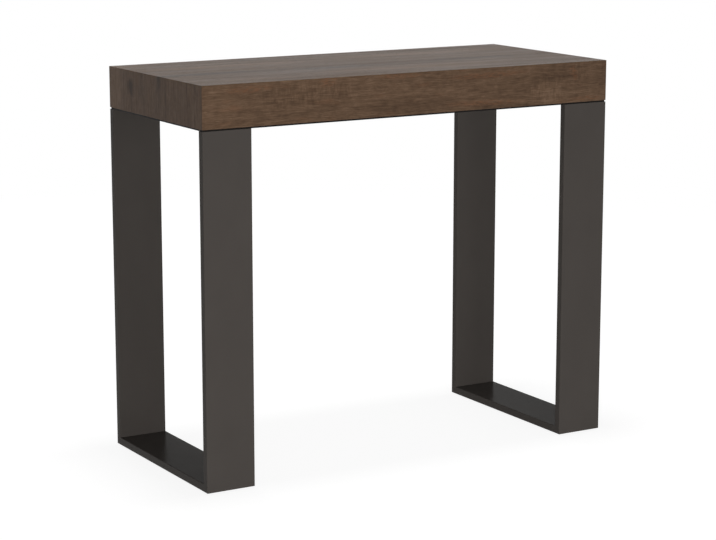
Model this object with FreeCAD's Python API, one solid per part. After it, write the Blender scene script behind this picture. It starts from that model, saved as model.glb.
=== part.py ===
# Extending console table, closed. Millimetres, +Z up with the floor at zero, +X along the table, front at -Y.
# The wood box and the foot bars part at mid-depth. The front half rides out along -Y on two sets of telescopic
# rails under the top, and nylon sliders key each rail to its neighbour.
import FreeCAD, Part
import os

Vector = FreeCAD.Vector

# Whole table
table_length = 900.0
table_depth = 400.0
table_height = 760.0
box_height = 80.0
seam_gap = 0.1

# Boards of the box
board_thickness = 18.0
board_arris = 0.5

# Steel strips between the box and the legs
strip_thickness = 3.0
strip_width = 40.0
strip_recess = 2.0

# Legs of flat tube, each a post and a foot bar
leg_width = 100.0
leg_thickness = 15.0
tube_wall = 2.0
tube_corner = 1.2
plug_depth = 14.0
plug_clearance = 0.05
pad_thickness = 2.0
pad_radius = 12.0
pad_inset = 30.0

# Rails, numbered from 1 on the rear half, outermost, to the last on the front half, innermost
rail_count = 7
rail_web = 5.0
rail_wall = 2.5
rail_chamber = 9.0
rail_gap = 1.0
rail_top_gap = 2.0
rail_end_gap = 2.0
groove_mouth = 8.0
groove_height = 16.0
groove_depth = 4.0
flange_width = 20.0
flange_root = 1.0
flange_side_gap = 12.0

# Nylon sliders between neighbouring rails
slider_length = 49.8
slider_clearance = 0.3

# Crossbars under the rails, one for each moving pair, on spacer plates
crossbar_width = 30.0
crossbar_thickness = 3.0
crossbar_gap = 10.0
spacer_thickness = 1.5
rivet_radius = 2.0
rivet_head_radius = 3.8
rivet_head_height = 1.4
rivet_tail_radius = 3.0
rivet_tail_height = 1.5
rivet_inset = 7.0
rivet_clearance = 0.1

# Screws and dowels
screw_radius = 2.0
screw_head_radius = 4.0
screw_clearance = 0.1
screw_cover = 6.0
frame_screw_bite = 30.0
side_screw_shares = (0.2, 0.8)
apron_screw_shares = (-0.85, 0.0, 0.85)
rail_screw_shares = (0.15, 0.5, 0.85)
dowel_radius = 4.0
dowel_reach = 12.0
dowel_grip = 18.0
dowel_clearance = 0.3
dowel_play = 0.05
dowel_shares = (-0.6, 0.0, 0.6)

# Cuts run this far past the faces that they open
overrun = 5.0
tolerance = 0.01

# Planes that follow from the sizes above
half_length = table_length / 2
half_depth = table_depth / 2
seam = seam_gap / 2
inner_length = half_length - board_thickness
inner_depth = half_depth - board_thickness
panel_underside = table_height - board_thickness
box_underside = table_height - box_height
leg_top = box_underside - strip_thickness
foot_underside = pad_thickness
foot_top = foot_underside + leg_thickness
post_face = half_depth - leg_thickness
rail_width = rail_web + 2 * (groove_depth + rail_wall)
rail_height = groove_height + 2 * (rail_chamber + 2 * rail_wall)
rail_end = inner_depth - rail_end_gap
rail_top = panel_underside - rail_top_gap
rail_bottom = rail_top - rail_height
rail_middle = (rail_top + rail_bottom) / 2
rail_pitch = rail_width + rail_gap
flange_underside = rail_top - flange_root
crossbar_top = rail_bottom - spacer_thickness
crossbar_bottom = crossbar_top - crossbar_thickness
chamber_floor = rail_bottom + rail_wall
moving_rails = range(2, rail_count)


def block(x, y, z):
    """Box between the low and high value on each axis."""
    return Part.makeBox(x[1] - x[0], y[1] - y[0], z[1] - z[0], Vector(x[0], y[0], z[0]))


def upright_rod(x, y, z, radius):
    return Part.makeCylinder(radius, z[1] - z[0], Vector(x, y, z[0]))


def sweep(points, along):
    """Solid that a closed flat outline leaves when it moves along a vector."""
    return Part.Face(Part.makePolygon(points + points[:1])).extrude(along)


def sweep_along_x(outline, x):
    """Outline of (y, z) points, swept between two x values."""
    return sweep([Vector(x[0], y, z) for y, z in outline], Vector(x[1] - x[0], 0, 0))


def sweep_along_y(outline, y):
    """Outline of (x, z) points, swept between two y values."""
    return sweep([Vector(x, y[0], z) for x, z in outline], Vector(0, y[1] - y[0], 0))


def sweep_along_z(outline, z):
    """Outline of (x, y) points, swept between two z values."""
    return sweep([Vector(x, y, z[0]) for x, y in outline], Vector(0, 0, z[1] - z[0]))


def joined(solids):
    """One solid from several that overlap or share a face."""
    return solids[0].fuse(solids[1:]).removeSplitter()


def to_right(shape):
    return shape.mirror(Vector(0, 0, 0), Vector(1, 0, 0))


def to_front(shape):
    return shape.mirror(Vector(0, 0, 0), Vector(0, 1, 0))


def both_sides(solids):
    """The left-hand solids and their mirror images on the right."""
    return solids + [to_right(solid) for solid in solids]


def countersunk_rod(x, y, seat, length, play):
    """Screw driven upwards, its head flush with the seat, grown all round by a play."""
    head_height = screw_head_radius - screw_radius
    head = Part.makeCone(screw_head_radius + play, screw_radius + play, head_height, Vector(x, y, seat))
    shank = upright_rod(x, y, (seat, seat + length + play), screw_radius + play)
    return joined([head, shank])


def screw(x, y, seat, length):
    return countersunk_rod(x, y, seat, length, 0)


def screw_hole(x, y, seat, length):
    return countersunk_rod(x, y, seat, length, screw_clearance)


# Places of the frame screws: (x, y) on the rear half
side_screw_x = half_length - board_thickness / 2
side_screw_ys = [seam + share * (post_face - seam) for share in side_screw_shares]
apron_screw_y = half_depth - board_thickness / 2
apron_screw_xs = [share * (half_length - leg_width) for share in apron_screw_shares]
frame_screw_places = [(sign * side_screw_x, y) for sign in (-1, 1) for y in side_screw_ys]
frame_screw_places += [(x, apron_screw_y) for x in apron_screw_xs]
frame_screw_length = strip_thickness + frame_screw_bite


def frame_screw_holes():
    return [screw_hole(x, y, leg_top, frame_screw_length) for x, y in frame_screw_places]


def rail_face(number):
    """x of the outer face of a left-hand rail."""
    return -inner_length + flange_side_gap + flange_width + (number - 1) * rail_pitch


def rail_screw_places(flange_middle):
    """(x, y) of the screws in a fixed pair's flanges, on the rear half."""
    ys = [seam + share * (rail_end - seam) for share in rail_screw_shares]
    return [(sign * flange_middle, y) for sign in (-1, 1) for y in ys]


rear_flange_middle = rail_face(1) - flange_width / 2
front_flange_middle = rail_face(rail_count) + rail_width + flange_width / 2
rail_screw_length = table_height - screw_cover - flange_underside


def rail_screw_holes(flange_middle):
    places = rail_screw_places(flange_middle)
    return [screw_hole(x, y, flange_underside, rail_screw_length) for x, y in places]


def dowel_hole(x, y, radius):
    """Hole along Y in the seam edge of a top panel."""
    middle = table_height - board_thickness / 2
    return Part.makeCylinder(radius, y[1] - y[0], Vector(x, y[0], middle), Vector(0, 1, 0))


dowel_xs = [share * inner_length for share in dowel_shares]


def rear_boards():
    """Top panel, apron, left and right side panel of the rear half, mitred along the edges they share."""
    outer = block((-half_length, half_length), (seam, half_depth), (box_underside, table_height))
    outer_edges = [edge for edge in outer.Edges if edge.BoundBox.YMax > seam + tolerance]
    outer = outer.makeChamfer(board_arris, outer_edges)
    hollow_x = (-inner_length, inner_length)
    hollow = block(hollow_x, (seam - overrun, inner_depth), (box_underside - overrun, panel_underside))
    shell = outer.cut(hollow)

    high = table_height + overrun
    far_y = half_depth + overrun
    far_x = half_length + overrun
    near_y = seam - overrun
    depth_outline = [(near_y, panel_underside), (inner_depth, panel_underside), (far_y, high), (near_y, high)]
    length_outline = [
        (-inner_length, panel_underside),
        (inner_length, panel_underside),
        (far_x, high),
        (-far_x, high),
    ]
    over_panel = sweep_along_x(depth_outline, (-far_x, far_x)).common(
        sweep_along_y(length_outline, (near_y, far_y))
    )
    plan_outline = [(-inner_length, inner_depth), (inner_length, inner_depth), (far_x, far_y), (-far_x, far_y)]
    over_apron = sweep_along_z(plan_outline, (box_underside - overrun, high))

    panel = shell.common(over_panel)
    skirt = shell.cut(over_panel).cut(frame_screw_holes())
    apron = skirt.common(over_apron)
    left_side, right_side = sorted(skirt.cut(over_apron).Solids, key=lambda solid: solid.CenterOfMass.x)
    return panel, apron, left_side, right_side


def rear_strips():
    """Long strip under the apron and one strip under each side panel."""
    x = (-half_length + strip_recess, half_length - strip_recess)
    z = (leg_top, box_underside)
    inner_y = half_depth - strip_recess - strip_width
    long_strip = block(x, (inner_y, half_depth - strip_recess), z).cut(frame_screw_holes())
    left_strip = block((x[0], x[0] + strip_width), (seam, inner_y), z).cut(frame_screw_holes())
    return long_strip, both_sides([left_strip])


def tube(outline, bore_outline, round_edges):
    """Left-hand flat tube swept across the leg's width, with its long outer edges rounded."""
    bar = sweep_along_x(outline, (-half_length, -half_length + leg_width))
    bar = bar.makeFillet(tube_corner, round_edges(bar))
    bore_x = (-half_length + tube_wall, -half_length + leg_width - tube_wall)
    return bar.cut(sweep_along_x(bore_outline, bore_x))


def edges_along_y(solid):
    return [e for e in solid.Edges if max(e.BoundBox.XLength, e.BoundBox.ZLength) < tolerance]


def edges_along_z(solid):
    return [e for e in solid.Edges if max(e.BoundBox.XLength, e.BoundBox.YLength) < tolerance]


def rear_left_leg():
    """Post and foot bar, mitred where they meet at the floor."""
    post_outline = [
        (half_depth, foot_underside),
        (half_depth, leg_top),
        (post_face, leg_top),
        (post_face, foot_top),
    ]
    outer_bore = half_depth - tube_wall
    inner_bore = post_face + tube_wall
    low_bore = foot_underside + tube_wall
    high_bore = foot_top - tube_wall
    post_bore = [
        (outer_bore, low_bore),
        (outer_bore, leg_top + overrun),
        (inner_bore, leg_top + overrun),
        (inner_bore, high_bore),
    ]
    foot_outline = [(half_depth, foot_underside), (post_face, foot_top), (seam, foot_top), (seam, foot_underside)]
    foot_bore = [
        (outer_bore, low_bore),
        (inner_bore, high_bore),
        (seam - overrun, high_bore),
        (seam - overrun, low_bore),
    ]
    post = tube(post_outline, post_bore, edges_along_z)
    foot = tube(foot_outline, foot_bore, edges_along_y)
    return post, foot


def rear_left_plug():
    """Plug in the open end of the foot bar, flush with the seam."""
    inset = tube_wall + plug_clearance
    x = (-half_length + inset, -half_length + leg_width - inset)
    return block(x, (seam, seam + plug_depth), (foot_underside + inset, foot_top - inset))


def rear_left_pads():
    x = -half_length + leg_width / 2
    ys = (seam + pad_inset, half_depth - pad_inset)
    return [upright_rod(x, y, (0, pad_thickness), pad_radius) for y in ys]


def groove(face, inward):
    """T-shaped groove cut into a rail from a side face; inward is the direction into the rail."""
    y = (-rail_end - overrun, rail_end + overrun)
    lip = face + inward * rail_wall
    floor = lip + inward * groove_depth
    mouth = (rail_middle - groove_mouth / 2, rail_middle + groove_mouth / 2)
    room = (rail_middle - groove_height / 2, rail_middle + groove_height / 2)
    return [
        block(sorted((face - inward * overrun, lip)), y, mouth),
        block(sorted((lip, floor)), y, room),
    ]


def rail_bar(number):
    """Left-hand rail: a grooved bar with a hollow chamber above and below its grooves."""
    outer = rail_face(number)
    inner = outer + rail_width
    bar = block((outer, inner), (-rail_end, rail_end), (rail_bottom, rail_top))
    chamber_x = (outer + rail_wall, inner - rail_wall)
    chamber_y = (-rail_end - overrun, rail_end + overrun)
    low_roof = rail_middle - groove_height / 2 - rail_wall
    high_floor = rail_middle + groove_height / 2 + rail_wall
    chambers = [
        block(chamber_x, chamber_y, (chamber_floor, low_roof)),
        block(chamber_x, chamber_y, (high_floor, rail_top - rail_wall)),
    ]
    return bar.cut(groove(outer, 1) + groove(inner, -1) + chambers)


def rear_left_rail():
    """First rail, with the flange that screws it under the rear panel."""
    outer = rail_face(1)
    x = (outer - flange_width, outer + rail_width)
    flange = block(x, (seam, rail_end), (flange_underside, panel_underside))
    return joined([rail_bar(1), flange]).cut(rail_screw_holes(rear_flange_middle))


def front_left_rail():
    """Last rail, with its flange under the front panel."""
    outer = rail_face(rail_count)
    x = (outer, outer + rail_width + flange_width)
    flange = block(x, (-rail_end, -seam), (flange_underside, panel_underside))
    holes = [to_front(hole) for hole in rail_screw_holes(front_flange_middle)]
    return joined([rail_bar(rail_count), flange]).cut(holes)


def slider(number, outer_fit, inner_fit, y):
    """Left-hand key in the facing grooves of a rail and the next one in, with a clearance in each groove."""
    outer_face = rail_face(number) + rail_width
    inner_face = rail_face(number + 1)
    between = (outer_face + inner_face) / 2
    outer_lip = outer_face - rail_wall - outer_fit
    inner_lip = inner_face + rail_wall + inner_fit
    outer_end = outer_face - rail_wall - groove_depth + outer_fit
    inner_end = inner_face + rail_wall + groove_depth - inner_fit

    def level(height, fit):
        reach = height / 2 - fit
        return rail_middle - reach, rail_middle + reach

    return joined([
        block((outer_end, outer_lip), y, level(groove_height, outer_fit)),
        block((outer_lip, between), y, level(groove_mouth, outer_fit)),
        block((between, inner_lip), y, level(groove_mouth, inner_fit)),
        block((inner_lip, inner_end), y, level(groove_height, inner_fit)),
    ])


def leading_slider(number):
    """Slider held at the front end of a rail, in which the next rail in runs."""
    return slider(number, 0, slider_clearance, (-rail_end, -rail_end + slider_length))


def trailing_slider(number):
    """Slider held at the rear end of a rail, which runs in the next rail out."""
    return slider(number - 1, slider_clearance, 0, (rail_end - slider_length, rail_end))


def crossbar_middle(number):
    """y of a crossbar: they lie in a row from rear to front in the order of their rails."""
    return (rail_count + 1 - 2 * number) / 2 * (crossbar_width + crossbar_gap)


def rivet_places(number):
    x = rail_face(number) + rail_width / 2
    reach = crossbar_width / 2 - rivet_inset
    return [(x, crossbar_middle(number) + side * reach) for side in (-1, 1)]


def rivet(x, y):
    head = upright_rod(x, y, (crossbar_bottom - rivet_head_height, crossbar_bottom), rivet_head_radius)
    shank = upright_rod(x, y, (crossbar_bottom, chamber_floor), rivet_radius)
    tail = upright_rod(x, y, (chamber_floor, chamber_floor + rivet_tail_height), rivet_tail_radius)
    return joined([head, shank, tail])


def rivet_hole(x, y):
    z = (crossbar_bottom - overrun, chamber_floor + rail_chamber / 2)
    return upright_rod(x, y, z, rivet_radius + rivet_clearance)


def crossbar(number):
    """Flat bar that ties a pair of rails together, with a spacer plate at each end to keep it off the others."""
    end = rail_face(number)
    middle = crossbar_middle(number)
    y = (middle - crossbar_width / 2, middle + crossbar_width / 2)
    bar = block((end, -end), y, (crossbar_bottom, crossbar_top))
    spacer = block((end, end + rail_width), y, (crossbar_top, rail_bottom))
    holes = both_sides([rivet_hole(*place) for place in rivet_places(number)])
    return [solid.cut(holes) for solid in [bar] + both_sides([spacer])]


def half_nodes():
    """The pieces that both halves share: boards, strips, legs, plugs, pads and frame screws."""
    panel, apron, left_side, right_side = rear_boards()
    long_strip, side_strips = rear_strips()
    left_post, left_foot = rear_left_leg()
    screws = [screw(x, y, leg_top, frame_screw_length) for x, y in frame_screw_places]
    shared = {
        "top_panel": panel,
        "apron": apron,
        "left_side": left_side,
        "right_side": right_side,
        "long_strip": long_strip,
        "side_strips": Part.makeCompound(side_strips),
        "left_post": left_post,
        "right_post": to_right(left_post),
        "left_foot": left_foot,
        "right_foot": to_right(left_foot),
        "foot_plugs": Part.makeCompound(both_sides([rear_left_plug()])),
        "felt_pads": Part.makeCompound(both_sides(rear_left_pads())),
        "frame_screws": Part.makeCompound(screws),
    }
    nodes = {"rear_" + name: shape for name, shape in shared.items()}
    nodes.update({"front_" + name: to_front(shape) for name, shape in shared.items()})

    sockets_y = (seam - overrun, seam + dowel_reach + dowel_clearance)
    sockets = [dowel_hole(x, sockets_y, dowel_radius + dowel_clearance) for x in dowel_xs]
    grips_y = (-seam - dowel_grip, overrun - seam)
    grips = [dowel_hole(x, grips_y, dowel_radius + dowel_play) for x in dowel_xs]
    front_holes = [to_front(hole) for hole in rail_screw_holes(front_flange_middle)]
    nodes["rear_top_panel"] = nodes["rear_top_panel"].cut(sockets + rail_screw_holes(rear_flange_middle))
    nodes["front_top_panel"] = nodes["front_top_panel"].cut(grips + front_holes)
    dowels_y = (-seam - dowel_grip, seam + dowel_reach)
    dowels = [dowel_hole(x, dowels_y, dowel_radius) for x in dowel_xs]
    nodes["alignment_dowels"] = Part.makeCompound(dowels)
    return nodes


def rail_screws(flange_middle):
    places = rail_screw_places(flange_middle)
    return [screw(x, y, flange_underside, rail_screw_length) for x, y in places]


def rail_nodes():
    """The two sets of rails with their sliders, crossbars and fasteners."""
    nodes = {}
    left_rails = {1: rear_left_rail(), rail_count: front_left_rail()}
    sliders = {1: [leading_slider(1)], rail_count: [trailing_slider(rail_count)]}
    for number in moving_rails:
        holes = [rivet_hole(x, y) for x, y in rivet_places(number)]
        left_rails[number] = rail_bar(number).cut(holes)
        sliders[number] = [leading_slider(number), trailing_slider(number)]
        rivets = [rivet(x, y) for x, y in rivet_places(number)]
        nodes[f"crossbar_{number}"] = Part.makeCompound(crossbar(number))
        nodes[f"crossbar_{number}_rivets"] = Part.makeCompound(both_sides(rivets))
    for number, rail in left_rails.items():
        nodes[f"left_rail_{number}"] = rail
        nodes[f"right_rail_{number}"] = to_right(rail)
        nodes[f"rail_{number}_sliders"] = Part.makeCompound(both_sides(sliders[number]))
    nodes["rear_rail_screws"] = Part.makeCompound(rail_screws(rear_flange_middle))
    front_screws = [to_front(solid) for solid in rail_screws(front_flange_middle)]
    nodes["front_rail_screws"] = Part.makeCompound(front_screws)
    return nodes


os.makedirs("parts", exist_ok=True)
for node, shape in {**half_nodes(), **rail_nodes()}.items():
    shape.exportStep(os.path.join("parts", node + ".step"))
    print(node, "solids", len(shape.Solids), "valid", shape.isValid(), "volume", round(shape.Volume, 1))
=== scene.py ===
"""Extending console table: finishes, fine pieces, studio and camera. Metres, in the CAD frame."""

import math
from typing import NamedTuple

import bmesh
import bpy
from mathutils import Euler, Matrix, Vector


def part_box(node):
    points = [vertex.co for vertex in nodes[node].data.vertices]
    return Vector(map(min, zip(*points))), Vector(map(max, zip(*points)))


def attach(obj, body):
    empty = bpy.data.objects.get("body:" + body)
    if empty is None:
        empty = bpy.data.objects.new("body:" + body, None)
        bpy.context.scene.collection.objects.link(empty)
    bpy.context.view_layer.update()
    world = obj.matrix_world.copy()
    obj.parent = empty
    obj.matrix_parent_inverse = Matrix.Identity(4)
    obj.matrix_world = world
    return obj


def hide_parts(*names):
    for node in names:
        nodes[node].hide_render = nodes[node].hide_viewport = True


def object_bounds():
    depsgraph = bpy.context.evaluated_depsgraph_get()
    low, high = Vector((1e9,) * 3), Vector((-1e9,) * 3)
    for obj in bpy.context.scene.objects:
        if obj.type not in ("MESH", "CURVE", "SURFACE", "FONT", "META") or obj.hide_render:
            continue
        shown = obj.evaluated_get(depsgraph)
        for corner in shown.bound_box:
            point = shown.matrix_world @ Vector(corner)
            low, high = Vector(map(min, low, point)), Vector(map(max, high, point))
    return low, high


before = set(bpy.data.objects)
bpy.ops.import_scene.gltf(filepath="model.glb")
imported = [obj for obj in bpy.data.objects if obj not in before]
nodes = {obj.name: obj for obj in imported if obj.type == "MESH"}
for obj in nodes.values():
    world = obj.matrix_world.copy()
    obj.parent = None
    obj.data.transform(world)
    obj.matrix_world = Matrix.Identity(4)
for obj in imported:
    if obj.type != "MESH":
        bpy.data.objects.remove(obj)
cad_low, cad_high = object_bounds()

MILLIMETRE = 0.001
QUARTER_TURN = math.pi / 2
FULL_TURN = 2 * math.pi
UP = Vector((0, 0, 1))
DOWN = Vector((0, 0, -1))
TO_REAR = Vector((0, 1, 0))
HALVES = ("rear", "front")
SIDES = ("left", "right")
RAIL_NUMBERS = range(1, 8)
MOVING_RAILS = range(2, 7)

table_end = cad_high.x
table_edge = cad_high.y
table_top = cad_high.z
board_thickness = table_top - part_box("left_rail_1")[1].z
box_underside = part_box("rear_apron")[0].z


# Building shader trees

NOISE_MIDDLE = 0.5
RAMP_MIDDLE = 0.5
# Sockets of a Mix node that mixes colours
MIX_SHARE, MIX_FIRST, MIX_SECOND, MIX_RESULT = 0, 6, 7, 2


def feed(tree, source, socket):
    """Links a socket to another one, or sets it to a plain value."""
    if isinstance(source, bpy.types.NodeSocket):
        tree.links.new(source, socket)
    else:
        socket.default_value = source


def place(tree, kind, feeds, **settings):
    """Adds a shader node, with its settings and with what feeds its sockets."""
    made = tree.nodes.new("ShaderNode" + kind)
    for name, value in settings.items():
        setattr(made, name, value)
    for socket, source in feeds.items():
        feed(tree, source, made.inputs[socket])
    return made


def calc(tree, operation, *values):
    return place(tree, "Math", dict(enumerate(values)), operation=operation).outputs[0]


def add_up(tree, first, *others):
    """Sum of any number of values."""
    for other in others:
        first = calc(tree, "ADD", first, other)
    return first


def split(tree, vector):
    """The x, y and z of a vector."""
    return place(tree, "SeparateXYZ", {0: vector}).outputs


def shift(tree, vector, offset):
    return place(tree, "VectorMath", {0: vector, 1: offset}, operation="ADD").outputs[0]


def stretch(tree, vector, scale):
    return place(tree, "VectorMath", {0: vector, 1: scale}, operation="MULTIPLY").outputs[0]


def cloud(tree, vector, lumps, detail=2.0, roughness=0.5, distortion=0.0):
    """Soft noise from 0 to 1, with so many lumps in a metre along each axis."""
    feeds = {
        "Vector": stretch(tree, vector, lumps),
        "Scale": 1.0,
        "Detail": detail,
        "Roughness": roughness,
        "Distortion": distortion,
    }
    return place(tree, "TexNoise", feeds).outputs["Fac"]


def rise(tree, value, low, high, start=0.0, end=1.0):
    """Goes smoothly from start to end while the value goes from low to high."""
    feeds = {"Value": value, "From Min": low, "From Max": high, "To Min": start, "To Max": end}
    return place(tree, "MapRange", feeds, interpolation_type="SMOOTHSTEP").outputs[0]


def swing(tree, noise, reach=1.0):
    """Noise of 0 to 1 turned into minus to plus a reach."""
    return calc(tree, "MULTIPLY", calc(tree, "SUBTRACT", noise, NOISE_MIDDLE), 2 * reach)


def tint(tree, share, first, second):
    """Mixes two colours."""
    feeds = {MIX_SHARE: share, MIX_FIRST: first, MIX_SECOND: second}
    return place(tree, "Mix", feeds, data_type="RGBA").outputs[MIX_RESULT]


def shade(tree, value, stops):
    """Colour of a value on a ramp of (position, colour) stops."""
    made = place(tree, "ValToRGB", {0: value})
    elements = made.color_ramp.elements
    while len(elements) < len(stops):
        elements.new(RAMP_MIDDLE)
    for element, (position, colour) in zip(elements, stops):
        element.position = position
        element.color = colour
    return made.outputs[0]


def opaque(red, green, blue):
    return (red, green, blue, 1.0)


def new_group(name, inputs, outputs):
    """Empty shader node group with named sockets: the tree, what it is given and where its results go."""
    tree = bpy.data.node_groups.new(name, "ShaderNodeTree")
    for socket, kind in inputs.items():
        tree.interface.new_socket(name=socket, in_out="INPUT", socket_type="NodeSocket" + kind)
    for socket, kind in outputs.items():
        tree.interface.new_socket(name=socket, in_out="OUTPUT", socket_type="NodeSocket" + kind)
    entry = tree.nodes.new("NodeGroupInput")
    leave = tree.nodes.new("NodeGroupOutput")
    return tree, entry.outputs, leave.inputs


def use_group(tree, group, feeds):
    made = tree.nodes.new("ShaderNodeGroup")
    made.node_tree = group
    for socket, source in feeds.items():
        feed(tree, source, made.inputs[socket])
    return made.outputs


def new_material(name, **constants):
    """Material with a Principled shader whose plain values are set on its own sockets."""
    material = bpy.data.materials.new(name)
    material.use_nodes = True
    tree = material.node_tree
    shader = tree.nodes["Principled BSDF"]
    for socket, value in constants.items():
        shader.inputs[socket.replace("_", " ")].default_value = value
    return material, tree, shader


def place_on_piece(tree):
    """Coordinates that stay with the piece: metres in the CAD frame at rest."""
    return tree.nodes.new("ShaderNodeTexCoord").outputs["Object"]


def raise_surface(tree, shader, height, distance, strength=1.0):
    bump = place(tree, "Bump", {"Height": height, "Distance": distance, "Strength": strength})
    feed(tree, bump.outputs[0], shader.inputs["Normal"])


# Oak-effect foil of the box. The boards are one sheet, folded down over the edges of the top: along is its x,
# across its y, and depth below the outer face its negative z.


class Layer(NamedTuple):
    """Noise to both sides of nought: lumps in a metre along and across the grain, how far it reaches."""
    along: float
    across: float
    reach: float
    detail: float = 2.0
    roughness: float = 0.5
    distortion: float = 0.0


class Spots(NamedTuple):
    """Spots in noise: lumps in a metre along and across the grain, noise at edge and heart, strength."""
    along: float
    across: float
    edge: float
    heart: float
    strength: float = 1.0
    detail: float = 2.0
    roughness: float = 0.5
    distortion: float = 0.0


OAK_DARK = opaque(0.056, 0.034, 0.022)
OAK_BROWN = opaque(0.1215, 0.0745, 0.0465)
OAK_PALE = opaque(0.196, 0.125, 0.081)
OAK_RED = opaque(0.185, 0.085, 0.045)
PORE_BROWN = opaque(0.040, 0.025, 0.017)
BACKING_BROWN = opaque(0.085, 0.058, 0.042)
EDGE_BROWN = opaque(0.092, 0.056, 0.034)
CHIP_PALE = opaque(0.52, 0.38, 0.23)
CHIP_DARK = opaque(0.30, 0.20, 0.11)
MIDDLE_TONE = 0.5
OAK_TONES = ((0.0, OAK_DARK), (MIDDLE_TONE, OAK_BROWN), (1.0, OAK_PALE))

# Bends of the grain, and how far the marks stray from their places along it
SLOW_WAVER = Layer(along=2.2, across=9.0, reach=0.014)
QUICK_WAVER = Layer(along=16.0, across=30.0, reach=0.004)
STRAY = Layer(along=24.0, across=50.0, reach=0.020)
# Tone of the wood
BROAD_FIGURE = Layer(along=2.6, across=28.0, reach=0.24)
MOTTLE = Layer(along=55.0, across=90.0, reach=0.34, detail=3.0, roughness=0.6, distortion=0.6)
STREAKS = Layer(along=10.0, across=180.0, reach=0.42, detail=4.0, roughness=0.65, distortion=0.25)
LINES = Layer(along=34.0, across=620.0, reach=0.55, detail=3.0, roughness=0.6)
RIPPLE = Layer(along=200.0, across=50.0, reach=0.38, distortion=0.15)
# Gloss of the foil
SLICK = Layer(along=3.0, across=34.0, reach=0.11, detail=3.0)

PORES = Spots(along=70.0, across=1900.0, edge=0.56, heart=0.70)
FAINT_RIPPLE = Spots(along=6.0, across=18.0, edge=0.52, heart=0.76, strength=0.3, detail=1.0)
FAINT_RED = Spots(along=14.0, across=60.0, edge=0.58, heart=0.80, strength=0.24)
FLECK_GRAIN = Spots(along=90.0, across=460.0, edge=0.38, heart=0.62)
PAPER = Spots(along=900.0, across=900.0, edge=0.3, heart=0.7, strength=0.25, detail=3.0)
CHIPS = Spots(along=420.0, across=420.0, edge=0.42, heart=0.60, roughness=0.6, distortion=1.5)

# Marks of the sheet: along, across, half length, half width, change of tone
OAK_MARKS = (
    (-0.481, 0.104, 0.016, 0.012, -0.60),
    (-0.512, 0.102, 0.026, 0.003, -0.16),
    (-0.490, 0.168, 0.090, 0.030, 0.42),
    (-0.490, -0.052, 0.090, 0.005, -0.20),
    (-0.505, -0.160, 0.060, 0.008, 0.14),
    (0.000, -0.030, 0.460, 0.030, -0.21),
    (-0.360, -0.026, 0.120, 0.014, -0.39),
    (-0.080, -0.040, 0.080, 0.010, -0.34),
    (0.240, -0.020, 0.100, 0.011, -0.34),
    (-0.250, 0.084, 0.190, 0.022, 0.29),
    (0.210, 0.110, 0.200, 0.026, 0.26),
    (-0.120, 0.160, 0.160, 0.010, -0.29),
    (0.280, 0.165, 0.120, 0.008, -0.29),
    (0.060, -0.110, 0.220, 0.026, 0.26),
    (-0.330, -0.150, 0.110, 0.016, 0.21),
    (0.330, -0.150, 0.110, 0.010, -0.23),
    (-0.415, -0.245, 0.050, 0.040, 0.08),
    (-0.270, -0.230, 0.060, 0.025, -0.10),
    (-0.180, -0.245, 0.035, 0.022, -0.12),
    (-0.010, -0.262, 0.100, 0.018, -0.08),
    (0.195, -0.276, 0.080, 0.006, -0.20),
    (0.330, -0.215, 0.055, 0.018, -0.14),
    (0.310, -0.255, 0.030, 0.020, 0.15),
    (0.445, -0.230, 0.010, 0.030, -0.12),
)
# Red flecks of the sheet: along, across, half length, half width
OAK_FLECKS = (
    (-0.190, -0.210, 0.018, 0.010),
    (-0.355, -0.213, 0.045, 0.007),
    (-0.030, -0.206, 0.050, 0.005),
    (0.165, -0.213, 0.085, 0.006),
    (0.160, -0.268, 0.090, 0.006),
    (0.370, -0.222, 0.010, 0.014),
    (0.405, -0.272, 0.040, 0.004),
)
# Rippled patches of the sheet: along, across, half length, half width
OAK_RIPPLES = (
    (-0.262, -0.229, 0.075, 0.026),
    (-0.168, -0.228, 0.030, 0.020),
    (0.312, -0.250, 0.050, 0.026),
    (0.380, -0.218, 0.020, 0.018),
)
# Square of the distance from a mark's middle, in half sizes, where it starts to fade and where it ends
MARK_HEART, MARK_EDGE = 0.1, 1.6
# Share of the grain's waver that the marks follow
MARK_WAVER = 0.7

FLECK_SHARE = 0.50
PORE_SHARE = 0.55
BAND_PORE_SHARE = 0.4
FOIL_ROUGHNESS = 0.32
PORE_ROUGHNESS = 0.12
FOIL_SPECULAR = 0.045
# Height of the pressed lines and depth of the pores, as shares of the grain's depth
LINE_HEIGHT = 0.6
PORE_DEPTH = 0.7
GRAIN_DEPTH = 0.25 * MILLIMETRE
GRAIN_STRENGTH = 0.5
# Depth over which the skin of a board gives way to what lies behind it
SKIN_START, SKIN_END = 0.8 * MILLIMETRE, 1.2 * MILLIMETRE


def lay(tree, spot, layer):
    """Noise of a layer at a spot of the sheet."""
    lumps = (layer.along, layer.across, layer.across)
    return swing(tree, cloud(tree, spot, lumps, layer.detail, layer.roughness, layer.distortion), layer.reach)


def scatter(tree, spot, spots):
    """Mask of spots, from 0 between them to their strength."""
    lumps = (spots.along, spots.across, spots.across)
    noise = cloud(tree, spot, lumps, spots.detail, spots.roughness, spots.distortion)
    return rise(tree, noise, spots.edge, spots.heart, end=spots.strength)


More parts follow.
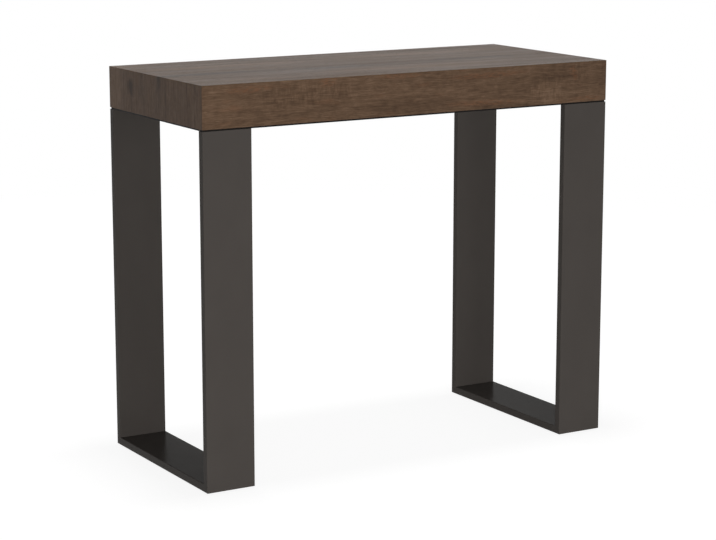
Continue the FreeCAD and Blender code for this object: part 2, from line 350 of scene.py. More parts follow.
def make_sheet_mark():
    """Mask of an oval mark on the sheet, with a soft edge."""
    inputs = {"Along": "Float", "Across": "Float", "Place Along": "Float", "Place Across": "Float",
              "Half Length": "Float", "Half Width": "Float"}
    tree, given, result = new_group("sheet_mark", inputs, {"Mask": "Float"})
    along = calc(tree, "SUBTRACT", given["Along"], given["Place Along"])
    across = calc(tree, "SUBTRACT", given["Across"], given["Place Across"])
    along = calc(tree, "DIVIDE", along, given["Half Length"])
    across = calc(tree, "DIVIDE", across, given["Half Width"])
    reach = calc(tree, "ADD", calc(tree, "MULTIPLY", along, along), calc(tree, "MULTIPLY", across, across))
    feed(tree, rise(tree, reach, MARK_HEART, MARK_EDGE, start=1.0, end=0.0), result["Mask"])
    return tree


def make_oak_grain():
    """Grain along x: tone, ripple across it, open pores, height of the pressed grain, stray of the marks."""
    outputs = {"Tone": "Float", "Ripple": "Float", "Pores": "Float", "Height": "Float", "Stray": "Vector"}
    tree, given, result = new_group("oak_grain", {"Vector": "Vector"}, outputs)
    spot = given["Vector"]
    waver = calc(tree, "ADD", lay(tree, spot, SLOW_WAVER), lay(tree, spot, QUICK_WAVER))
    bent = shift(tree, spot, place(tree, "CombineXYZ", {"Y": waver}).outputs[0])

    mottle = lay(tree, spot, MOTTLE)
    broad, streaks, lines = [lay(tree, bent, layer) for layer in (BROAD_FIGURE, STREAKS, LINES)]
    pores = scatter(tree, bent, PORES)
    raised = calc(tree, "MULTIPLY", lines, LINE_HEIGHT)
    sunk = calc(tree, "MULTIPLY", pores, PORE_DEPTH)
    stray = {"X": lay(tree, spot, STRAY), "Y": calc(tree, "MULTIPLY", waver, MARK_WAVER)}

    feed(tree, add_up(tree, broad, mottle, streaks, lines, MIDDLE_TONE), result["Tone"])
    feed(tree, lay(tree, spot, RIPPLE), result["Ripple"])
    feed(tree, pores, result["Pores"])
    feed(tree, calc(tree, "SUBTRACT", raised, sunk), result["Height"])
    feed(tree, place(tree, "CombineXYZ", stray).outputs[0], result["Stray"])
    return tree


def make_oak_board(grain, mark):
    """A board of the sheet: pressed foil outside, backing inside, bands on its edges, chips in its holes."""
    inputs = {"Sheet": "Vector", "Position": "Vector"}
    outputs = {"Color": "Color", "Roughness": "Float", "Height": "Float"}
    tree, given, result = new_group("oak_board", inputs, outputs)
    figure = use_group(tree, grain, {"Vector": given["Sheet"]})
    strayed = shift(tree, given["Sheet"], figure["Stray"])
    along, across, _ = split(tree, strayed)

    def marked(along_at, across_at, half_length, half_width):
        feeds = {"Along": along, "Across": across, "Place Along": along_at, "Place Across": across_at,
                 "Half Length": half_length, "Half Width": half_width}
        return use_group(tree, mark, feeds)["Mask"]

    tone = figure["Tone"]
    for *oval, change in OAK_MARKS:
        tone = calc(tree, "ADD", tone, calc(tree, "MULTIPLY", marked(*oval), change))
    rippled = scatter(tree, given["Sheet"], FAINT_RIPPLE)
    for oval in OAK_RIPPLES:
        rippled = calc(tree, "MAXIMUM", rippled, marked(*oval))
    tone = calc(tree, "ADD", tone, calc(tree, "MULTIPLY", figure["Ripple"], rippled))
    foil = shade(tree, tone, OAK_TONES)
    redness = scatter(tree, given["Sheet"], FAINT_RED)
    fleck_grain = calc(tree, "MULTIPLY", scatter(tree, given["Sheet"], FLECK_GRAIN), FLECK_SHARE)
    for oval in OAK_FLECKS:
        redness = calc(tree, "MAXIMUM", redness, calc(tree, "MULTIPLY", marked(*oval), fleck_grain))
    foil = tint(tree, redness, foil, OAK_RED)
    foil = tint(tree, calc(tree, "MULTIPLY", figure["Pores"], PORE_SHARE), foil, PORE_BROWN)

    backing = tint(tree, scatter(tree, given["Position"], PAPER), BACKING_BROWN, OAK_DARK)
    band = tint(tree, calc(tree, "MULTIPLY", figure["Pores"], BAND_PORE_SHARE), EDGE_BROWN, PORE_BROWN)
    core = tint(tree, scatter(tree, given["Position"], CHIPS), CHIP_DARK, CHIP_PALE)

    _, _, above_face = split(tree, given["Sheet"])
    depth = calc(tree, "MULTIPLY", above_face, -1.0)
    below_face = rise(tree, depth, SKIN_START, SKIN_END)
    inside = rise(tree, depth, board_thickness - SKIN_END, board_thickness - SKIN_START)
    _, from_seam, height = split(tree, given["Position"])
    from_seam = calc(tree, "ABSOLUTE", from_seam)
    at_seam = rise(tree, from_seam, SKIN_START, SKIN_END, start=1.0, end=0.0)
    at_bottom = rise(tree, height, box_underside + SKIN_START, box_underside + SKIN_END, start=1.0, end=0.0)
    banded = calc(tree, "MULTIPLY", calc(tree, "MAXIMUM", at_seam, at_bottom), below_face)

    colour = tint(tree, below_face, foil, core)
    colour = tint(tree, banded, colour, band)
    colour = tint(tree, inside, colour, backing)
    feed(tree, colour, result["Color"])
    rough_pores = calc(tree, "MULTIPLY", figure["Pores"], PORE_ROUGHNESS)
    feed(tree, add_up(tree, rough_pores, lay(tree, strayed, SLICK), FOIL_ROUGHNESS), result["Roughness"])
    feed(tree, figure["Height"], result["Height"])
    return tree


# How each board is folded from the sheet: turn of the CAD axes and shift that follows
FOLDS = {
    "top_panel": ((0, 0, 0), (0, 0, -table_top)),
    "left_side": ((0, QUARTER_TURN, 0), (-table_end - table_top, 0, -table_end)),
    "right_side": ((0, -QUARTER_TURN, 0), (table_end + table_top, 0, -table_end)),
    "front_apron": ((-QUARTER_TURN, 0, 0), (0, -table_edge - table_top, -table_edge)),
    "rear_apron": ((QUARTER_TURN, 0, 0), (0, table_edge + table_top, -table_edge)),
}


def make_board_material(name, board):
    material, tree, shader = new_material(name, Specular_IOR_Level=FOIL_SPECULAR)
    turn, offset = FOLDS[name]
    position = place_on_piece(tree)
    sheet = place(tree, "Mapping", {"Vector": position, "Rotation": turn, "Location": offset}).outputs[0]
    finish = use_group(tree, board, {"Sheet": sheet, "Position": position})
    feed(tree, finish["Color"], shader.inputs["Base Color"])
    feed(tree, finish["Roughness"], shader.inputs["Roughness"])
    raise_surface(tree, shader, finish["Height"], GRAIN_DEPTH, GRAIN_STRENGTH)
    return material


# Coats, plastics and bare metals. Lumps are counted in a metre along each axis.

COLOUR_DRIFT_LUMPS = (14.0, 14.0, 9.0)
GLOSS_DRIFT_LUMPS = (35.0, 35.0, 25.0)
COAT_COLOUR_DRIFT = 0.06
COAT_GLOSS_DRIFT = 0.04
COAT_STRENGTH = 0.6

COARSE_LINE_LUMPS = (700.0, 1.5, 700.0)
FINE_LINE_LUMPS = (3200.0, 5.0, 3200.0)
BLOTCH_LUMPS = (60.0, 18.0, 60.0)
LINE_REACH = 0.5
BLOTCH_COLOUR = 0.10
BLOTCH_ROUGHNESS = 0.06
LINE_ROUGHNESS = 0.10
LINE_STRENGTH = 0.5
# Turns that lay the drawn lines along an axis
LINES_ALONG_X = (0, 0, QUARTER_TURN)
LINES_ALONG_Y = (0, 0, 0)
LINES_ALONG_Z = (QUARTER_TURN, 0, 0)


def make_skin():
    """Skin of coated and moulded pieces: fine lumps, slow drift of colour and of gloss."""
    inputs = {"Vector": "Vector", "Lumps": "Float"}
    outputs = {"Height": "Float", "Drift": "Float", "Gloss": "Float"}
    tree, given, result = new_group("fine_skin", inputs, outputs)
    spot = given["Vector"]
    feeds = {"Vector": spot, "Scale": given["Lumps"], "Detail": 2.0, "Roughness": 0.5}
    feed(tree, place(tree, "TexNoise", feeds).outputs["Fac"], result["Height"])
    feed(tree, swing(tree, cloud(tree, spot, COLOUR_DRIFT_LUMPS, detail=3.0)), result["Drift"])
    feed(tree, swing(tree, cloud(tree, spot, GLOSS_DRIFT_LUMPS, detail=3.0)), result["Gloss"])
    return tree


def make_drawn_lines():
    """Lines that drawing or brushing leaves along y, with dull blotches."""
    outputs = {"Lines": "Float", "Blotches": "Float"}
    tree, given, result = new_group("drawn_lines", {"Vector": "Vector"}, outputs)
    spot = given["Vector"]
    coarse = swing(tree, cloud(tree, spot, COARSE_LINE_LUMPS), LINE_REACH)
    fine = swing(tree, cloud(tree, spot, FINE_LINE_LUMPS), LINE_REACH)
    feed(tree, calc(tree, "ADD", coarse, fine), result["Lines"])
    feed(tree, swing(tree, cloud(tree, spot, BLOTCH_LUMPS, detail=4.0, roughness=0.6)), result["Blotches"])
    return tree


def vary(tree, colour, share, change):
    """A colour made lighter and darker by a value of minus to plus 1."""
    lighter = tuple(min(1.0, part * (1 + change)) for part in colour[:3])
    darker = tuple(part * (1 - change) for part in colour[:3])
    return tint(tree, rise(tree, share, -1.0, 1.0), opaque(*darker), opaque(*lighter))


def make_coated_material(name, skin, colour, roughness, lumps, lump_height, **constants):
    """Powder coat or moulded plastic."""
    material, tree, shader = new_material(name, **constants)
    finish = use_group(tree, skin, {"Vector": place_on_piece(tree), "Lumps": lumps})
    feed(tree, vary(tree, colour, finish["Drift"], COAT_COLOUR_DRIFT), shader.inputs["Base Color"])
    drift = calc(tree, "MULTIPLY", finish["Gloss"], COAT_GLOSS_DRIFT)
    feed(tree, calc(tree, "ADD", drift, roughness), shader.inputs["Roughness"])
    raise_surface(tree, shader, finish["Height"], lump_height, COAT_STRENGTH)
    return material


def make_metal_material(name, drawn, colour, roughness, turn, line_height):
    """Bare or plated metal with lines along one axis."""
    material, tree, shader = new_material(name, Metallic=1.0)
    spot = place(tree, "Mapping", {"Vector": place_on_piece(tree), "Rotation": turn}).outputs[0]
    finish = use_group(tree, drawn, {"Vector": spot})
    feed(tree, vary(tree, colour, finish["Blotches"], BLOTCH_COLOUR), shader.inputs["Base Color"])
    dull = calc(tree, "MULTIPLY", finish["Blotches"], BLOTCH_ROUGHNESS)
    scored = calc(tree, "MULTIPLY", finish["Lines"], LINE_ROUGHNESS)
    feed(tree, add_up(tree, dull, scored, roughness), shader.inputs["Roughness"])
    raise_surface(tree, shader, finish["Lines"], line_height, LINE_STRENGTH)
    return material


# Felt and beech. Lumps are counted in a metre along each axis.

FELT_DARK = opaque(0.045, 0.042, 0.040)
FELT_GREY = opaque(0.12, 0.115, 0.108)
FELT_FLECK = opaque(0.25, 0.24, 0.22)
FELT_TONES = ((0.25, FELT_DARK), (0.8, FELT_GREY))
FELT_FIBRE_LUMPS = (1400.0, 500.0, 900.0)
FELT_FLECK_LUMPS = (700.0, 1900.0, 700.0)
FELT_FLECK_EDGE, FELT_FLECK_HEART = 0.60, 0.75
FELT_FLECK_SHARE = 0.5
FELT_DEPTH = 0.3 * MILLIMETRE

BEECH_BROWN = opaque(0.40, 0.25, 0.13)
BEECH_PALE = opaque(0.62, 0.44, 0.27)
BEECH_RAY = opaque(0.30, 0.17, 0.08)
BEECH_TONES = ((0.2, BEECH_BROWN), (0.8, BEECH_PALE))
BEECH_GRAIN_LUMPS = (600.0, 14.0, 600.0)
BEECH_RAY_LUMPS = (2200.0, 300.0, 2200.0)
BEECH_RAY_EDGE, BEECH_RAY_HEART = 0.60, 0.72
BEECH_RAY_SHARE = 0.5
BEECH_ROUGHNESS = 0.45
BEECH_GRAIN_ROUGHNESS = 0.2
BEECH_DEPTH = 0.15 * MILLIMETRE
BEECH_STRENGTH = 0.5


def make_felt_material():
    material, tree, shader = new_material(
        "pressed_felt", Roughness=0.95, Sheen_Weight=0.35, Sheen_Roughness=0.6)
    spot = place_on_piece(tree)
    fibres = cloud(tree, spot, FELT_FIBRE_LUMPS, detail=4.0, roughness=0.7, distortion=2.0)
    flecks = cloud(tree, spot, FELT_FLECK_LUMPS, distortion=1.0)
    flecks = rise(tree, flecks, FELT_FLECK_EDGE, FELT_FLECK_HEART, end=FELT_FLECK_SHARE)
    colour = tint(tree, flecks, shade(tree, fibres, FELT_TONES), FELT_FLECK)
    feed(tree, colour, shader.inputs["Base Color"])
    raise_surface(tree, shader, fibres, FELT_DEPTH)
    return material


def make_beech_material():
    material, tree, shader = new_material("turned_beech", Specular_IOR_Level=0.35)
    spot = place_on_piece(tree)
    grain = cloud(tree, spot, BEECH_GRAIN_LUMPS, detail=3.0)
    rays = cloud(tree, spot, BEECH_RAY_LUMPS, detail=1.0)
    rays = rise(tree, rays, BEECH_RAY_EDGE, BEECH_RAY_HEART, end=BEECH_RAY_SHARE)
    colour = tint(tree, rays, shade(tree, grain, BEECH_TONES), BEECH_RAY)
    feed(tree, colour, shader.inputs["Base Color"])
    rough_grain = calc(tree, "MULTIPLY", grain, BEECH_GRAIN_ROUGHNESS)
    feed(tree, calc(tree, "ADD", rough_grain, BEECH_ROUGHNESS), shader.inputs["Roughness"])
    raise_surface(tree, shader, grain, BEECH_DEPTH, BEECH_STRENGTH)
    return material


board_group = make_oak_board(make_oak_grain(), make_sheet_mark())
skin_group = make_skin()
drawn_group = make_drawn_lines()
board_materials = {name: make_board_material(name, board_group) for name in FOLDS}
frame_paint = make_coated_material(
    "anthracite_coat", skin_group, opaque(0.074, 0.0655, 0.0594), roughness=0.25, lumps=900.0,
    lump_height=0.025 * MILLIMETRE, Specular_IOR_Level=0.022)
# Near-black coat on the recessed strips under the box: painted shade that stands for the shadow in the recess
# between the box and the legs.
recess_shade_coat = make_coated_material(
    "painted_recess_shade", skin_group, opaque(0.012, 0.0105, 0.0095), roughness=0.45, lumps=900.0,
    lump_height=0.06 * MILLIMETRE, Specular_IOR_Level=0.05)
plug_plastic = make_coated_material(
    "black_plug", skin_group, opaque(0.016, 0.016, 0.017), roughness=0.50, lumps=2200.0,
    lump_height=0.10 * MILLIMETRE)
slider_nylon = make_coated_material(
    "black_nylon", skin_group, opaque(0.022, 0.022, 0.024), roughness=0.42, lumps=1500.0,
    lump_height=0.04 * MILLIMETRE)
rail_aluminium = make_metal_material(
    "drawn_aluminium", drawn_group, opaque(0.40, 0.405, 0.41), roughness=0.38, turn=LINES_ALONG_Y,
    line_height=0.006 * MILLIMETRE)
crossbar_steel = make_metal_material(
    "plated_bar", drawn_group, opaque(0.31, 0.31, 0.305), roughness=0.42, turn=LINES_ALONG_X,
    line_height=0.005 * MILLIMETRE)
screw_steel = make_metal_material(
    "plated_screw", drawn_group, opaque(0.46, 0.42, 0.34), roughness=0.30, turn=LINES_ALONG_Z,
    line_height=0.004 * MILLIMETRE)
rivet_alloy = make_metal_material(
    "plain_rivet", drawn_group, opaque(0.50, 0.50, 0.51), roughness=0.34, turn=LINES_ALONG_Z,
    line_height=0.004 * MILLIMETRE)
pressed_felt = make_felt_material()
turned_beech = make_beech_material()


# Finishes of the CAD nodes


def finish_node(node, material):
    data = nodes[node].data
    data.materials.clear()
    data.materials.append(material)


for half in HALVES:
    finish_node(half + "_top_panel", board_materials["top_panel"])
    finish_node(half + "_apron", board_materials[half + "_apron"])
    for side in SIDES:
        finish_node(f"{half}_{side}_side", board_materials[side + "_side"])
        finish_node(f"{half}_{side}_post", frame_paint)
        finish_node(f"{half}_{side}_foot", frame_paint)
    # The strips take the near-black painted shade of the recess under the box.
    finish_node(half + "_long_strip", recess_shade_coat)
    finish_node(half + "_side_strips", recess_shade_coat)
for number in RAIL_NUMBERS:
    finish_node(f"left_rail_{number}", rail_aluminium)
    finish_node(f"right_rail_{number}", rail_aluminium)
    finish_node(f"rail_{number}_sliders", slider_nylon)
for number in MOVING_RAILS:
    finish_node(f"crossbar_{number}", crossbar_steel)


# Fine pieces that stand for plain CAD solids. Each takes its place and its main sizes from its solid's box.

SOLID_MERGE = 0.01 * MILLIMETRE
SOLID_DIGITS = 5


def solids_of(node):
    """Lowest and highest corner of each separate solid of a CAD node."""
    mesh = bmesh.new()
    mesh.from_mesh(nodes[node].data)
    bmesh.ops.remove_doubles(mesh, verts=mesh.verts, dist=SOLID_MERGE)
    waiting = set(mesh.verts)
    boxes = []
    while waiting:
        found = {waiting.pop()}
        fresh = set(found)
        while fresh:
            fresh = {edge.other_vert(corner) for corner in fresh for edge in corner.link_edges} - found
            found |= fresh
        waiting -= found
        points = [corner.co for corner in found]
        low = Vector([min(point[axis] for point in points) for axis in range(3)])
        high = Vector([max(point[axis] for point in points) for axis in range(3)])
        boxes.append((low, high))
    mesh.free()
    return sorted(boxes, key=lambda box: tuple(round(part, SOLID_DIGITS) for part in box[0]))


def add_object(name, data):
    made = bpy.data.objects.new(name, data)
    bpy.context.scene.collection.objects.link(made)
    return made


def mesh_data(name, mesh, material):
    """Lasting mesh with one material, made from a working mesh, which is used up."""
    data = bpy.data.meshes.new(name)
    mesh.to_mesh(data)
    mesh.free()
    data.materials.append(material)
    return data


def new_piece(name, mesh, material, body, replaced, crease):
    """Piece that rides on a body, stands for a CAD node and is smooth up to a crease of so many degrees."""
    bmesh.ops.recalc_face_normals(mesh, faces=mesh.faces)
    data = mesh_data(name, mesh, material)
    data.shade_smooth()
    data.set_sharp_from_angle(angle=math.radians(crease))
    piece = add_object(name, data)
    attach(piece, body)
    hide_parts(replaced)
    return piece


def circle(radius, segments):
    """Points of a circle about the z axis."""
    angles = [FULL_TURN * step / segments for step in range(segments)]
    return [Vector((radius * math.cos(angle), radius * math.sin(angle), 0)) for angle in angles]


def lathe(mesh, profile, centre, axis, segments):
    """Turned solid from (radius, distance along the axis) points, closed where the radius is 0."""
    turn = UP.rotation_difference(axis).to_matrix()
    rings = []
    for radius, distance in profile:
        points = circle(radius, segments) if radius > 0 else [Vector((0, 0, 0))]
        rings.append([mesh.verts.new(centre + turn @ (point + distance * UP)) for point in points])
    for first, second in zip(rings, rings[1:]):
        for step in range(segments):
            corners = [first[step % len(first)], first[(step + 1) % len(first)],
                       second[(step + 1) % len(second)], second[step % len(second)]]
            corners = list(dict.fromkeys(corners))
            if len(corners) > 2:
                mesh.faces.new(corners)


def rounded(radius, height, corner, steps):
    """Profile of the rounded shoulder of a turned end, from its flank to its face at a height."""
    angles = [QUARTER_TURN * step / steps for step in range(steps + 1)]
    return [(radius - corner + corner * math.cos(angle), height - corner + corner * math.sin(angle))
            for angle in angles]


def body_of_half(half):
    return half + "_half"


FELT_SEGMENTS = 40
FELT_EDGE_STEPS = 4
FELT_CREASE = 50
# Rings of the pad's faces, as shares of its radius
FELT_RINGS = (0.3, 0.6, 0.85)


def make_felt_glides(half):
    """Pressed felt discs, their lower edge rounded by the floor."""
    node = half + "_felt_pads"
    mesh = bmesh.new()
    for low, high in solids_of(node):
        middle = (low + high) / 2
        radius = (high.x - low.x) / 2
        thickness = high.z - low.z
        worn_edge = 0.4 * thickness
        cut_edge = 0.25 * worn_edge
        profile = [(0, 0)] + [(radius * share, 0) for share in FELT_RINGS]
        profile += [(radius - cut_edge, 0), (radius, cut_edge)]
        profile += rounded(radius, thickness, worn_edge, FELT_EDGE_STEPS)
        profile += [(radius * share, thickness) for share in reversed(FELT_RINGS)] + [(0, thickness)]
        lathe(mesh, profile, Vector((middle.x, middle.y, high.z)), DOWN, FELT_SEGMENTS)
    body = body_of_half(half)
    piece = new_piece(half + "_felt_glides", mesh, pressed_felt, body, node, FELT_CREASE)


SCREW_SEGMENTS = 20
SCREW_CREASE = 35
SCREW_MERGE = 0.001 * MILLIMETRE
THREAD_PITCH = 1.44 * MILLIMETRE
# Length from the head to the thread, and the length that the last turn needs before the tip
THREAD_START = 1.5 * THREAD_PITCH
THREAD_RUN_OUT = 1.25 * THREAD_PITCH
RECESS_ARMS = 4
# Size of the recess's floor, as a share of its mouth
RECESS_TAPER = 0.7


def make_cross_screw(mesh, low, high):
    """Countersunk screw driven upwards, with a cross recess in its head and a thread on its shank."""
    middle = (low + high) / 2
    centre = Vector((middle.x, middle.y, low.z))
    length = high.z - low.z
    head_radius = (high.x - low.x) / 2
    shank_radius = head_radius / 2
    core_radius = 0.72 * shank_radius
    head_height = head_radius - shank_radius
    rim_height = 0.04 * head_height
    tip = 2.5 * shank_radius
    thread_end = length - tip
    profile = [(head_radius, 0), (head_radius, rim_height), (shank_radius, head_height)]
    distance = head_height + THREAD_START
    while distance + THREAD_RUN_OUT < thread_end:
        profile += [(core_radius, distance), (shank_radius, distance + THREAD_PITCH / 2)]
        distance += THREAD_PITCH
    profile += [(core_radius, thread_end), (0, length)]
    lathe(mesh, profile, centre, UP, SCREW_SEGMENTS)

    arm_length = 0.62 * head_radius
    arm_half = 0.16 * head_radius
    recess_floor = 0.75 * head_height * UP
    arm = ((arm_half, -arm_half), (arm_length, -arm_half), (arm_length, arm_half))
    turns = [Euler((0, 0, quarter * QUARTER_TURN)).to_matrix() for quarter in range(RECESS_ARMS)]
    outline = [turn @ Vector((x, y, 0)) for turn in turns for x, y in arm]
    rim = [mesh.verts.new(centre + point) for point in circle(head_radius, SCREW_SEGMENTS)]
    mouth = [mesh.verts.new(centre + point) for point in outline]
    floor = [mesh.verts.new(centre + point * RECESS_TAPER + recess_floor) for point in outline]
    edges = []
    for loop in (rim, mouth):
        edges += [mesh.edges.new((loop[step - 1], loop[step])) for step in range(len(loop))]
    bmesh.ops.triangle_fill(mesh, use_beauty=True, edges=edges)
    for step in range(len(mouth)):
        mesh.faces.new((mouth[step - 1], mouth[step], floor[step], floor[step - 1]))
    mesh.faces.new(floor)


def make_screws(node, body):
    mesh = bmesh.new()
    for low, high in solids_of(node):
        make_cross_screw(mesh, low, high)
    bmesh.ops.remove_doubles(mesh, verts=mesh.verts, dist=SCREW_MERGE)
    new_piece(node + "_cross", mesh, screw_steel, body, node, SCREW_CREASE)


RIVET_SEGMENTS = 24
RIVET_CREASE = 40
DOME_STEPS = 6


def make_domed_rivets(number):
    """Blind rivets: a domed head under the crossbar with the broken stem in its middle."""
    node = f"crossbar_{number}_rivets"
    bar_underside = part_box(f"crossbar_{number}")[0].z
    mesh = bmesh.new()
    for low, high in solids_of(node):
        middle = (low + high) / 2
        length = high.z - low.z
        head_radius = (high.x - low.x) / 2
        head_height = bar_underside - low.z
        shank_radius = 0.52 * head_radius
        swell_radius = 1.3 * shank_radius
        shank_end = 0.8 * length
        swell_start = 0.86 * length
        swell_end = 0.95 * length
        bore = 0.3 * head_radius
        bore_edge = 0.06 * head_height
        pit_floor = 0.7 * head_height
        stem_foot = 0.7 * bore
        stem_radius = 0.6 * bore
        stem_end = 0.45 * head_height
        dome_height = 0.9 * head_height
        profile = [(0, stem_end), (stem_radius, stem_end), (stem_foot, pit_floor), (bore, pit_floor)]
        profile.append((bore, bore_edge))
        for step in range(DOME_STEPS + 1):
            angle = QUARTER_TURN * step / DOME_STEPS
            radius = bore + (head_radius - bore) * math.sin(angle)
            profile.append((radius, dome_height * (1 - math.cos(angle))))
        profile += [(head_radius, head_height), (shank_radius, head_height), (shank_radius, shank_end)]
        profile += [(swell_radius, swell_start), (swell_radius, swell_end), (0, length)]
        lathe(mesh, profile, Vector((middle.x, middle.y, low.z)), UP, RIVET_SEGMENTS)
    new_piece(node + "_domed", mesh, rivet_alloy, f"stage_{number}", node, RIVET_CREASE)


PLUG_CREASE = 35
PLUG_CORNER = 1.2 * MILLIMETRE
PLUG_CORNER_STEPS = 3
PLUG_EDGE = 0.35 * MILLIMETRE
PLUG_RIM = 2.0 * MILLIMETRE
PLUG_RIM_FACE = 1.8 * MILLIMETRE
PLUG_DISH_SLOPE = 1.0 * MILLIMETRE
PLUG_RIB_HEIGHT = 0.5 * MILLIMETRE
PLUG_RIBS = 4
# Depths of the plug's forms, as shares of its own depth
PLUG_DISH_FLOOR, PLUG_DISH_WALL = 0.12, 0.10
PLUG_EDGE_END, PLUG_COLLAR_END = 0.025, 0.20
PLUG_RIB_START, PLUG_RIB_STEP, PLUG_RIB_HALF = 0.24, 0.18, 0.05


def rounded_rectangle(half_width, half_height, corner, steps):
    """Outline of a rectangle with round corners, as (x, z) points."""
    points = []
    for quarter, (sign_x, sign_z) in enumerate(((1, 1), (-1, 1), (-1, -1), (1, -1))):
        middle_x = sign_x * (half_width - corner)
        middle_z = sign_z * (half_height - corner)
        for step in range(steps + 1):
            angle = (quarter + step / steps) * QUARTER_TURN
            points.append((middle_x + corner * math.cos(angle), middle_z + corner * math.sin(angle)))
    return points


def make_ribbed_plug(mesh, low, high, inward):
    """Plug in a foot bar's end: a dished face, a rim, and ribs that grip the bore."""
    middle = (low + high) / 2
    half_width = (high.x - low.x) / 2
    half_height = (high.z - low.z) / 2
    depth = high.y - low.y
    face = Vector((middle.x, low.y if inward > 0 else high.y, middle.z))
    # Share of the depth, and how far the outline lies inside the bore there
    sections = [
        (PLUG_DISH_FLOOR, PLUG_RIM + PLUG_DISH_SLOPE),
        (PLUG_DISH_WALL, PLUG_RIM),
        (0.0, PLUG_RIM_FACE),
        (0.0, PLUG_EDGE),
        (PLUG_EDGE_END, 0.0),
        (PLUG_COLLAR_END, 0.0),
    ]
    for rib in range(PLUG_RIBS):
        start = PLUG_RIB_START + PLUG_RIB_STEP * rib
        sections += [(start, PLUG_RIB_HEIGHT), (start + PLUG_RIB_HALF, 0.0)]
        sections.append((start + 2 * PLUG_RIB_HALF, PLUG_RIB_HEIGHT))
    sections.append((1.0, 2 * PLUG_RIB_HEIGHT))
    rings = []
    for share, inset in sections:
        outline = rounded_rectangle(half_width - inset, half_height - inset, PLUG_CORNER, PLUG_CORNER_STEPS)
        rings.append([mesh.verts.new(face + Vector((x, inward * share * depth, z))) for x, z in outline])
    for first, second in zip(rings, rings[1:]):
        for step in range(len(first)):
            mesh.faces.new((first[step - 1], first[step], second[step], second[step - 1]))
    mesh.faces.new(rings[0])
    mesh.faces.new(rings[-1])


def make_plugs(half, inward):
    node = half + "_foot_plugs"
    mesh = bmesh.new()
    for low, high in solids_of(node):
        make_ribbed_plug(mesh, low, high, inward)
    body = body_of_half(half)
    new_piece(half + "_ribbed_plugs", mesh, plug_plastic, body, node, PLUG_CREASE)


DOWEL_SEGMENTS = 32
DOWEL_NOSE_STEPS = 5
DOWEL_CREASE = 40


def make_dowels():
    """Turned dowels, rounded where they enter the rear half."""
    node = "alignment_dowels"
    mesh = bmesh.new()
    for low, high in solids_of(node):
        middle = (low + high) / 2
        radius = (high.x - low.x) / 2
        length = high.y - low.y
        chamfer = 0.15 * radius
        nose = 0.55 * radius
        profile = [(0, 0), (radius - chamfer, 0), (radius, chamfer)]
        profile += rounded(radius, length, nose, DOWEL_NOSE_STEPS) + [(0, length)]
        lathe(mesh, profile, Vector((middle.x, low.y, middle.z)), TO_REAR, DOWEL_SEGMENTS)
    new_piece("turned_dowels", mesh, turned_beech, "front_half", node, DOWEL_CREASE)


for half, inward in zip(HALVES, (1, -1)):
    make_felt_glides(half)
    make_plugs(half, inward)
    make_screws(half + "_frame_screws", body_of_half(half))
    make_screws(half + "_rail_screws", body_of_half(half))
for number in MOVING_RAILS:
    make_domed_rivets(number)
make_dowels()


# Studio: a white floor, a pale surround, soft lamps and the camera

FLOOR_REACH = 60.0
FLOOR_RING = 4.0
FLOOR_SEGMENTS = 48
FLOOR_DROP = 0.2 * MILLIMETRE
FLOOR_PALE = opaque(0.25, 0.25, 0.25)
FLOOR_GLOW = 0.885
# Distance from the table's middle over which the floor turns plain white
WHITE_START, WHITE_END = 1.9, 3.2

# Colours of the surround, by the sine of the angle above the horizon
SURROUND_COLOURS = (
    (0.08, opaque(1.0, 1.0, 1.0)),
    (0.20, opaque(0.585, 0.58, 0.57)),
    (0.42, opaque(0.06, 0.06, 0.06)),
)

# Lamps: place, width and height, watts
LAMPS = {
    "front_lamp": ((-1.05, -4.2, 0.45), (4.2, 0.8), 129),
    "back_lamp": ((0.2, 4.2, 0.55), (1.4, 0.9), 100),
    "right_lamp": ((4.4, 0.6, 0.45), (2.0, 0.8), 60),
    "top_lamp": ((0, 0, 3.2), (0.7, 0.5), 37),
}
LAMP_TARGET = Vector((0, 0, 0.45))

# Camera of the photograph, found from the table's edges in it: degrees of turn, millimetres of lens and film
CAMERA_PLACE = (-2.178, -3.664, 1.1964)
CAMERA_YAW = 30.647
CAMERA_PITCH = -11.296
CAMERA_LENS = 109.091
CAMERA_FILM_WIDTH = 36.0


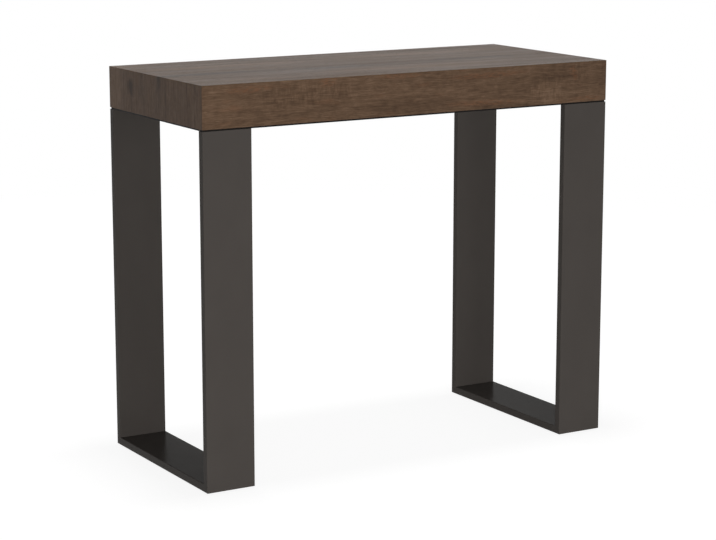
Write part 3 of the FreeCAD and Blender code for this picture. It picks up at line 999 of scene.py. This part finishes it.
def make_floor_material():
    """White to the eye and in reflections, with the table's shadow near it; clear from below."""
    material = bpy.data.materials.new("white_floor")
    material.use_nodes = True
    tree = material.node_tree
    tree.nodes.clear()
    path = tree.nodes.new("ShaderNodeLightPath").outputs
    seen = calc(tree, "MAXIMUM", path["Is Camera Ray"], path["Is Glossy Ray"])
    seen = calc(tree, "MAXIMUM", seen, path["Is Transmission Ray"])
    glow = place(tree, "Emission", {"Strength": calc(tree, "MULTIPLY", seen, FLOOR_GLOW)})
    pale = place(tree, "BsdfDiffuse", {"Color": FLOOR_PALE})
    near = place(tree, "AddShader", {0: glow.outputs[0], 1: pale.outputs[0]})
    white = place(tree, "Emission", {"Strength": seen})
    distance = place(tree, "VectorMath", {0: place_on_piece(tree)}, operation="LENGTH").outputs["Value"]
    far_share = rise(tree, distance, WHITE_START, WHITE_END)
    top = place(tree, "MixShader", {0: far_share, 1: near.outputs[0], 2: white.outputs[0]})
    clear = tree.nodes.new("ShaderNodeBsdfTransparent")
    below = tree.nodes.new("ShaderNodeNewGeometry").outputs["Backfacing"]
    surface = place(tree, "MixShader", {0: below, 1: top.outputs[0], 2: clear.outputs[0]})
    result = tree.nodes.new("ShaderNodeOutputMaterial")
    feed(tree, surface.outputs[0], result.inputs["Surface"])
    return material


def make_floor():
    """Round floor whose faces look up."""
    mesh = bmesh.new()
    profile = [(0, 0), (FLOOR_RING, 0), (FLOOR_REACH, 0)]
    lathe(mesh, profile, FLOOR_DROP * DOWN, UP, FLOOR_SEGMENTS)
    mesh.normal_update()
    for face in mesh.faces:
        if face.normal.z < 0:
            face.normal_flip()
    floor = add_object("studio_floor", mesh_data("studio_floor", mesh, make_floor_material()))


def make_surround():
    """White towards the horizon, grey overhead, the same for every ray."""
    world = bpy.data.worlds.new("studio_surround")
    bpy.context.scene.world = world
    world.use_nodes = True
    tree = world.node_tree
    direction = tree.nodes.new("ShaderNodeTexCoord").outputs["Generated"]
    _, _, height = split(tree, direction)
    feed(tree, shade(tree, height, SURROUND_COLOURS), tree.nodes["Background"].inputs["Color"])


def aim(holder, direction):
    """Turns a lamp or camera to look in a direction."""
    holder.rotation_euler = direction.to_track_quat("-Z", "Y").to_euler()


def make_lamp(name, position, size, watts):
    """Soft lamp that lights the table but shows in no reflection."""
    lamp = bpy.data.lights.new(name, "AREA")
    lamp.shape = "RECTANGLE"
    lamp.size, lamp.size_y = size
    lamp.energy = watts
    holder = add_object(name, lamp)
    holder.visible_glossy = False
    holder.location = position
    aim(holder, LAMP_TARGET - Vector(position))


def make_camera():
    yaw = math.radians(CAMERA_YAW)
    pitch = math.radians(CAMERA_PITCH)
    ahead = Vector((math.sin(yaw) * math.cos(pitch), math.cos(yaw) * math.cos(pitch), math.sin(pitch)))
    data = bpy.data.cameras.new("photo_camera")
    data.sensor_fit = "HORIZONTAL"
    data.sensor_width = CAMERA_FILM_WIDTH
    data.lens = CAMERA_LENS
    holder = add_object("photo_camera", data)
    holder.location = CAMERA_PLACE
    aim(holder, ahead)
    bpy.context.scene.camera = holder


make_floor()
make_surround()
for name, (position, size, watts) in LAMPS.items():
    make_lamp(name, position, size, watts)
make_camera()
bpy.context.scene.view_settings.view_transform = "Standard"
